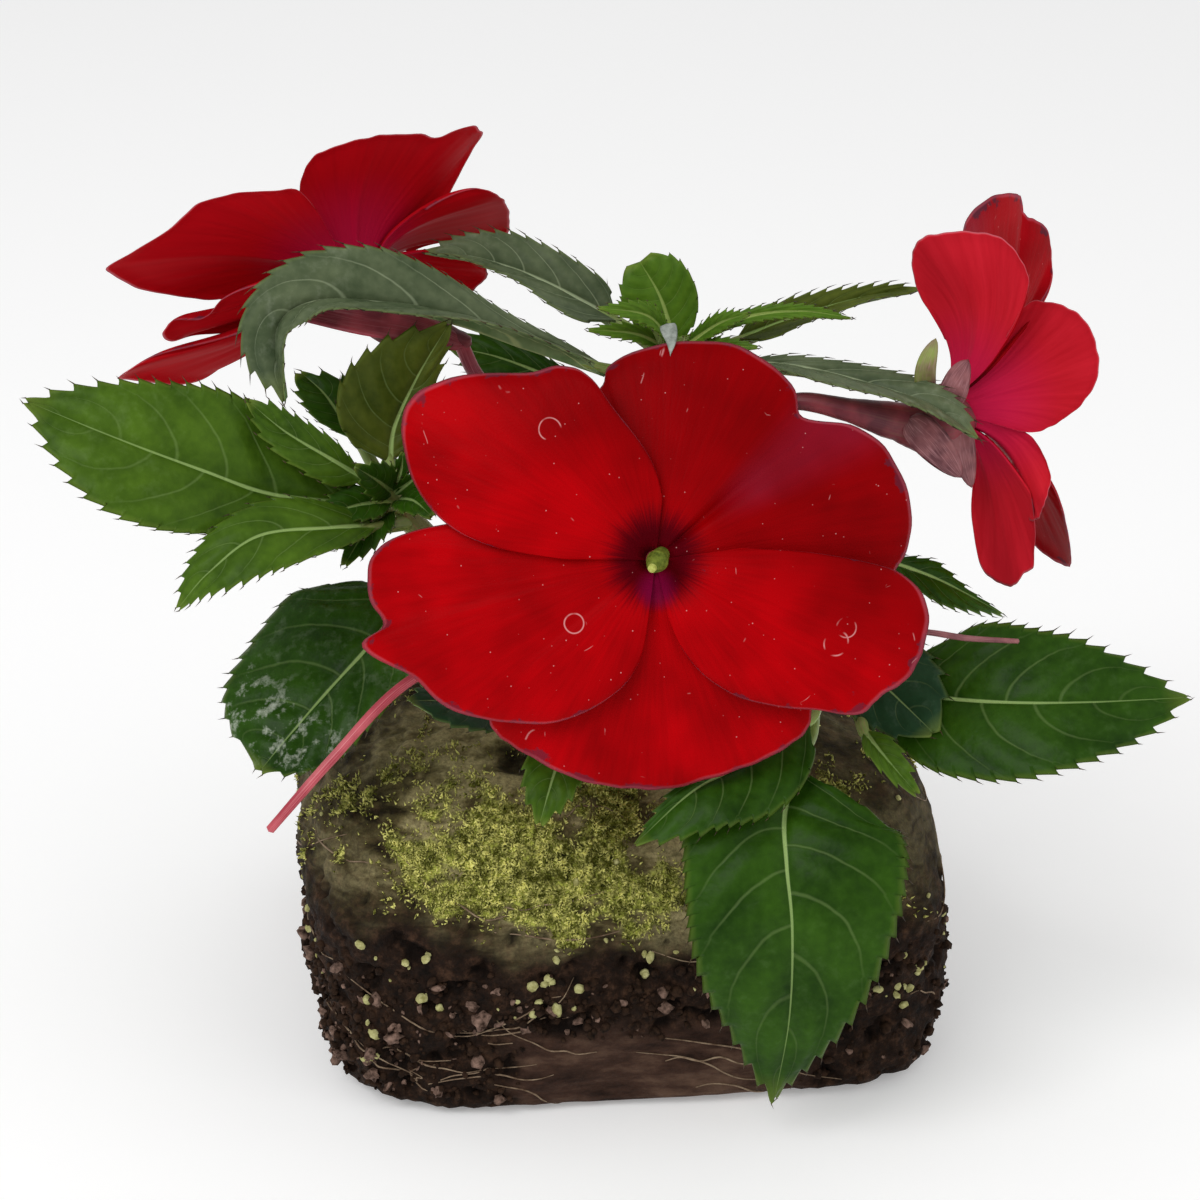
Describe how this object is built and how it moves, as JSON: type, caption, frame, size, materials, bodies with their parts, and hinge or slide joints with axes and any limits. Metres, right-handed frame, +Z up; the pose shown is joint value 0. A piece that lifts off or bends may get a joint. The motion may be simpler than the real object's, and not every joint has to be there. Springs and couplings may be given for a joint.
{
  "type": "potted New Guinea impatiens plant, knocked out of its pot",
  "caption": "Small bedding plant with large flat red blooms and toothed dark green leaves on fleshy stems, standing in a rounded-square root ball that kept the shape of its pot.",
  "frame": {"origin": "centre of the flat underside of the root ball", "axes": "+Z up along the stems, +X to the right and -Y towards the viewer, whom the front bloom faces"},
  "size_m": [0.1457, 0.1208, 0.1266],
  "materials": {
    "root_ball": "moist dark peat with bark, perlite and green moss, fully matte",
    "stem": "smooth fleshy green stem flushed with pink",
    "leaf": "dark green living leaf with a soft waxy sheen and pale veins",
    "petal": "saturated red petal with a faint velvet sheen and a dark throat",
    "anther": "pale yellow-green anther cap",
    "calyx": "mauve calyx, flower stalk and pink spur"
  },
  "bodies": {
    "root": {"root_ball": "root_ball", "stem_centre": "stem", "stem_left": "stem", "stem_right": "stem", "stem_back": "stem", "leaf_left_broad": "leaf", "leaf_left_narrow": "leaf", "leaf_left_low": "leaf", "leaf_left_upright": "leaf", "leaf_left_behind": "leaf", "leaf_left_hanging": "leaf", "leaf_under_bloom": "leaf", "leaf_front_small": "leaf", "leaf_right_broad": "leaf", "leaf_right_dark": "leaf", "leaf_right_back": "leaf", "leaf_right_small": "leaf", "leaf_front_left": "leaf", "leaf_front_hanging": "leaf", "leaf_top_arched": "leaf", "leaf_top_left": "leaf", "leaf_top_right": "leaf", "leaf_top_right_low": "leaf", "leaf_top_behind": "leaf", "leaf_back_left": "leaf", "leaf_back_right": "leaf", "leaf_back_middle": "leaf", "leaf_back_low_left": "leaf", "leaf_back_low_right": "leaf", "petals_front": "petal", "anthers_front": "anther", "calyx_front": "calyx", "petals_left": "petal", "anthers_left": "anther", "calyx_left": "calyx", "petals_right": "petal", "anthers_right": "anther", "calyx_right": "calyx"}
  },
  "joints": []
}
